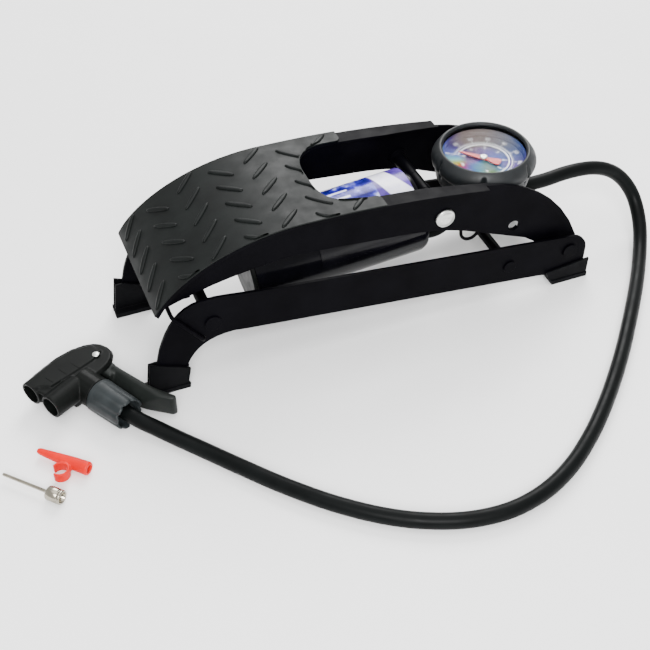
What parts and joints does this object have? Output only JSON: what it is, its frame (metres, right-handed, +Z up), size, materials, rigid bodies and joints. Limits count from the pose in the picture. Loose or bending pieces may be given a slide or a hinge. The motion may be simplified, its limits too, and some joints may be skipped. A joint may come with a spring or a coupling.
{
  "type": "foot air pump",
  "caption": "Single-barrel foot pump with a hinged treadle, a pressure gauge, and a hose ending in a twin-nozzle valve chuck with loose adaptors.",
  "frame": {"origin": "on the floor, in the middle of the pump's own box (feet, pedal and gauge), without the hose, chuck and loose adaptors", "axes": "+Z up, +X from the toe of the pedal towards its hinge, +Y away from the side the hose lies on"},
  "size_m": [0.4341, 0.2393, 0.0978],
  "materials": {
    "black_paint": "near-black powder coat, satin",
    "tread_rubber": "moulded charcoal rubber",
    "black_rubber": "black rubber, soft sheen",
    "black_plastic": "fine matte, dark grey",
    "grey_plastic": "fine matte, dark bluish grey",
    "barrel_paint": "gloss black paint",
    "zinc": "bright zinc plate",
    "steel": "bare bright steel",
    "brass": "plain brass",
    "label": "printed film, blue and violet with a white band",
    "dial": "printed dial, rainbow ground with white marks",
    "lens": "clear lens",
    "red_plastic": "orange-red plastic"
  },
  "bodies": {
    "base": {"base_side_near": "black_paint", "base_side_far": "black_paint", "foot_cap_front_near": "black_rubber", "foot_cap_back_near": "black_rubber", "foot_cap_front_far": "black_rubber", "foot_cap_back_far": "black_rubber", "rod_pin": "black_paint", "base_cross_rod": "black_paint", "hinge_pin": "black_paint", "hinge_washer_near": "zinc", "hinge_washer_far": "zinc", "hose": "black_rubber", "chuck_body": "black_plastic", "nozzle_seal_far": "black_rubber", "nozzle_seal_near": "black_rubber", "chuck_collar": "grey_plastic", "lever_rivet": "zinc"},
    "pedal": {"pedal_channel": "black_paint", "hinge_sleeve": "black_paint", "tread_mat": "tread_rubber", "toe_hook": "black_paint", "lug_pin": "zinc", "lug_pin_spacer_near": "black_paint", "lug_pin_spacer_far": "black_paint", "gauge_bracket": "black_paint", "gauge_cup": "black_paint", "gauge_boot": "black_rubber", "gauge_movement": "brass", "bourdon_tube": "brass", "gauge_dial": "dial", "gauge_lens": "lens", "gauge_tee": "brass", "hose_ferrule": "zinc", "air_tube": "black_rubber", "tube_guide": "black_paint"},
    "barrel": {"barrel_tube": "barrel_paint", "barrel_cap": "grey_plastic", "barrel_label": "label", "barrel_lug": "black_paint", "barrel_outlet": "brass", "check_valve": "black_rubber"},
    "rod": {"piston_rod": "steel", "rod_saddle": "black_paint", "piston": "grey_plastic", "piston_cup": "black_rubber", "return_spring": "steel"},
    "latch": {"latch_wire": "black_paint"},
    "pointer": {"gauge_pointer": "red_plastic", "pointer_hub": "zinc"},
    "lever": {"chuck_lever": "black_plastic"},
    "needle": {"ball_needle": "steel"},
    "nozzle": {"cone_nozzle": "red_plastic"}
  },
  "joints": [
    {"name": "pedal_hinge", "type": "hinge", "parent": "base", "child": "pedal", "pos_m": [0.1298, 0, 0.0235], "axis": [0, 1, 0], "range_deg": [0, 50], "deforming": ["hose"]},
    {"name": "barrel_hinge", "type": "hinge", "parent": "pedal", "child": "barrel", "pos_m": [0.04197, 0, 0.0712], "axis": [0, 1, 0], "range_deg": [-61.5, 0], "deforming": ["air_tube"]},
    {"name": "rod_slide", "type": "slide", "parent": "barrel", "child": "rod", "axis": [-0.9962, 0, -0.0872], "range_m": [0, 0.0796], "deforming": ["return_spring"]},
    {"name": "latch_hinge", "type": "hinge", "parent": "base", "child": "latch", "pos_m": [-0.1089, 0, 0.0333], "axis": [0, -1, 0], "range_deg": [0, 55]},
    {"name": "pointer_hinge", "type": "hinge", "parent": "pedal", "child": "pointer", "pos_m": [0.0843, 0, 0.0816], "axis": [0, 0, -1], "range_deg": [0, 250]},
    {"name": "lever_hinge", "type": "hinge", "parent": "base", "child": "lever", "pos_m": [-0.1665, -0.0137, 0.01], "axis": [0, 0, 1], "range_deg": [0, 3.5]},
    {"name": "needle_lift", "type": "slide", "parent": "base", "child": "needle", "axis": [0, 0, 1], "range_m": [0, 0.05]},
    {"name": "nozzle_lift", "type": "slide", "parent": "base", "child": "nozzle", "axis": [0, 0, 1], "range_m": [0, 0.05]}
  ],
  "couplings": [
    {"joint": "barrel_hinge", "follows": "pedal_hinge", "ratio": -1.2268},
    {"joint": "rod_slide", "follows": "pedal_hinge", "m_per_rad": 0.09112}
  ]
}
